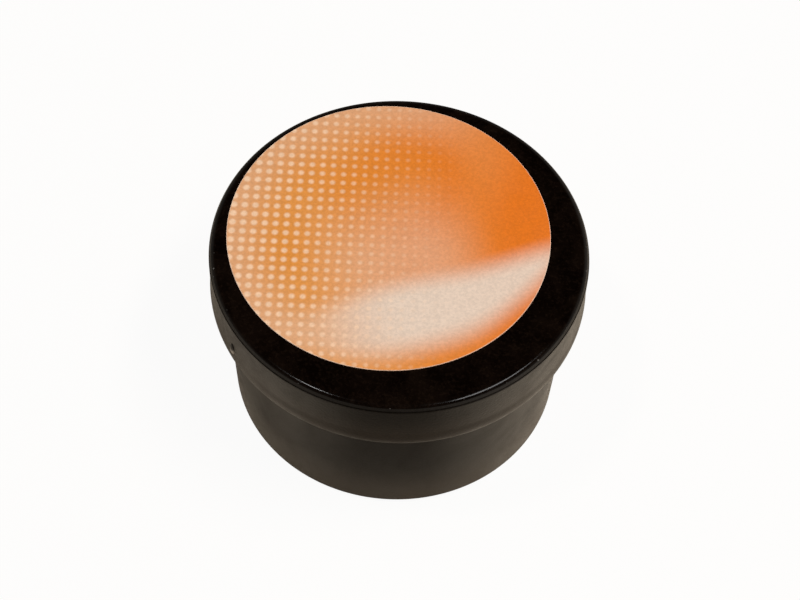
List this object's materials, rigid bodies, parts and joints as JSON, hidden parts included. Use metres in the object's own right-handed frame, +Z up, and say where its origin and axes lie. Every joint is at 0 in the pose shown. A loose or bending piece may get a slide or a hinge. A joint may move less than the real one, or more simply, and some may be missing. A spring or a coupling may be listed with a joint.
{
  "type": "grease jar",
  "caption": "Squat round plastic jar of grease with a wide smooth screw lid, a loose sealing disc inside the lid and a round label stuck off centre on top.",
  "frame": {"origin": "centre of the jar's base, on the surface that it stands on", "axes": "+Z up along the axis of the jar and of the lid's thread; -Y is the side that the picture shows at the front"},
  "size_m": [0.0462, 0.0462, 0.0265],
  "materials": {
    "jar_plastic": "satin",
    "lid_plastic": "satin",
    "liner_foam": "matte",
    "grease": "gloss",
    "label_print": "satin"
  },
  "bodies": {
    "jar": {"jar": "jar_plastic", "grease": "grease"},
    "liner": {"lid_liner": "liner_foam"},
    "lid": {"lid": "lid_plastic", "lid_label": "label_print"}
  },
  "joints": [
    {"name": "lid_lift", "type": "slide", "parent": "jar", "child": "liner", "axis": [0, 0, 1], "range_m": [0, 0.0201]},
    {"name": "lid_turn", "type": "hinge", "parent": "liner", "child": "lid", "pos_m": [0, 0, 0.0242], "axis": [0, 0, 1], "range_deg": [0, 1440]}
  ],
  "couplings": [
    {"joint": "lid_lift", "follows": "lid_turn", "m_per_rad": 0.00079577}
  ]
}
